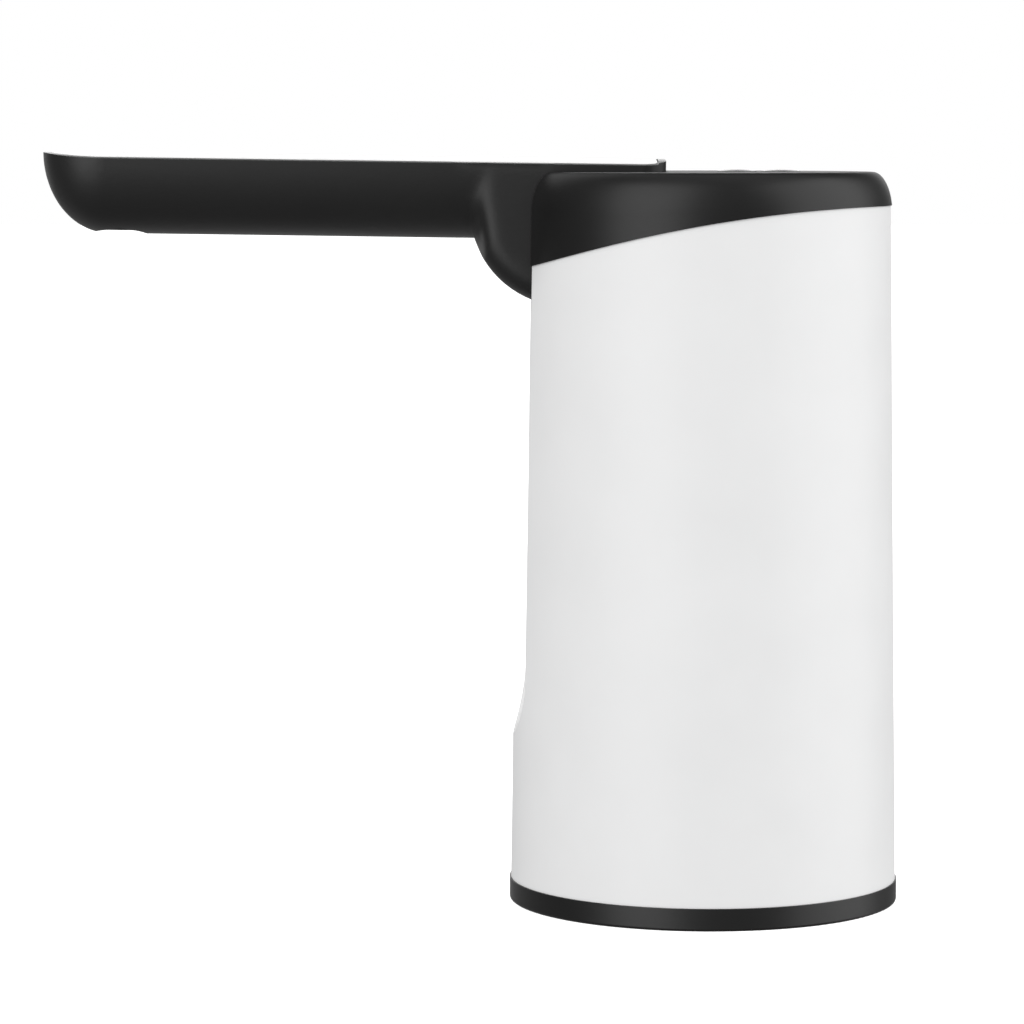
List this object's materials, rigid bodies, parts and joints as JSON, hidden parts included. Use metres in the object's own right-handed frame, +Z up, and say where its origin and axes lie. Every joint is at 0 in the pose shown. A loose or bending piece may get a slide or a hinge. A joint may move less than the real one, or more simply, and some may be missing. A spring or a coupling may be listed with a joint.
{
  "type": "bottled water pump",
  "caption": "Battery pump that sits on a water bottle's neck: tapered round body, black cap with two buttons and a spout arm that folds down into a groove in the body.",
  "frame": {"origin": "centre of the bottle neck's bore, level with the foot of the base ring", "axes": "+Z up along the body, -X towards the tip of the open arm, the camera looks along +Y"},
  "size_m": [0.1534, 0.07, 0.1347],
  "materials": {
    "body_white": "satin, very light",
    "cap_black": "satin",
    "ring_black": "satin",
    "arm_black": "satin",
    "cover_white": "satin gloss",
    "button_black": "satin",
    "spout_black": "moulded",
    "frame_black": "moulded",
    "gasket_rubber": "soft, milky",
    "soft_black": "soft",
    "valve_rubber": "soft",
    "tube_silicone": "milky",
    "fitting_white": "moulded",
    "pump_grey": "moulded",
    "motor_steel": "plated",
    "magnet_grey": "sintered",
    "end_cap_white": "moulded",
    "pin_steel": "ground",
    "bearing_bronze": "sintered",
    "terminal_brass": "stamped",
    "screw_steel": "zinc plated",
    "cell_wrap": "shrink film",
    "tab_nickel": "nickel strip",
    "board_green": "solder mask",
    "chip_black": "moulded",
    "socket_steel": "drawn",
    "wire_red": "wire cover",
    "wire_blue": "wire cover",
    "wire_white": "wire cover"
  },
  "bodies": {
    "housing": {"base_ring": "ring_black", "battery_cell": "cell_wrap", "battery_leads": "wire_red", "battery_pad": "soft_black", "battery_tabs": "tab_nickel", "board_parts": "chip_black", "board_screws": "screw_steel", "cap_screws": "screw_steel", "charge_socket": "socket_steel", "chassis": "frame_black", "chassis_screws": "screw_steel", "check_valves": "valve_rubber", "control_board": "board_green", "crankcase": "pump_grey", "deck_screws": "screw_steel", "diaphragm": "valve_rubber", "hinge_pin": "pin_steel", "inlet_fitting": "fitting_white", "inlet_tube": "tube_silicone", "motor_bearings": "bearing_bronze", "motor_can": "motor_steel", "motor_end_cap": "end_cap_white", "motor_leads": "wire_blue", "motor_terminals": "terminal_brass", "neck_adapter": "frame_black", "neck_gasket": "gasket_rubber", "outer_sleeve": "body_white", "outlet_tube": "tube_silicone", "pump_cover": "pump_grey", "pump_damper": "soft_black", "pump_screws": "screw_steel", "stator_magnets": "magnet_grey", "switch_board": "board_green", "switch_lead": "wire_white", "switch_screws": "screw_steel", "swivel_fitting": "fitting_white", "tact_switches": "chip_black", "top_cap": "cap_black", "upper_deck": "frame_black", "valve_plate": "pump_grey"},
    "arm": {"arm_shell": "arm_black", "arm_cover": "cover_white", "arm_tube": "tube_silicone", "spout": "spout_black", "swivel_elbow": "fitting_white", "swivel_seals": "valve_rubber", "hinge_bushings": "fitting_white"},
    "front_button": {"front_button": "button_black"},
    "rear_button": {"rear_button": "button_black"},
    "rotor": {"motor_shaft": "pin_steel", "armature": "motor_steel", "eccentric": "pump_grey", "wobble_pin": "pin_steel"},
    "wobble": {"wobble_plate": "pump_grey"}
  },
  "joints": [
    {"name": "arm_fold", "type": "hinge", "parent": "housing", "child": "arm", "pos_m": [-0.02475, 0, 0.12475], "axis": [0, -1, 0], "range_deg": [0, 90]},
    {"name": "front_button_press", "type": "slide", "parent": "housing", "child": "front_button", "axis": [0, 0, -1], "range_m": [0, 0.0006], "stiffness_N_per_m": 400},
    {"name": "rear_button_press", "type": "slide", "parent": "housing", "child": "rear_button", "axis": [0, 0, -1], "range_m": [0, 0.0006], "stiffness_N_per_m": 400},
    {"name": "motor_spin", "type": "hinge", "parent": "housing", "child": "rotor", "pos_m": [0.012, 0.002, 0.08], "axis": [0, 0, 1], "continuous": true},
    {"name": "wobble_turn", "type": "hinge", "parent": "rotor", "child": "wobble", "pos_m": [0.012, 0.002, 0.0487], "axis": [0.1045, 0, 0.9945], "continuous": true}
  ],
  "couplings": [
    {"joint": "wobble_turn", "follows": "motor_spin", "ratio": -1}
  ]
}
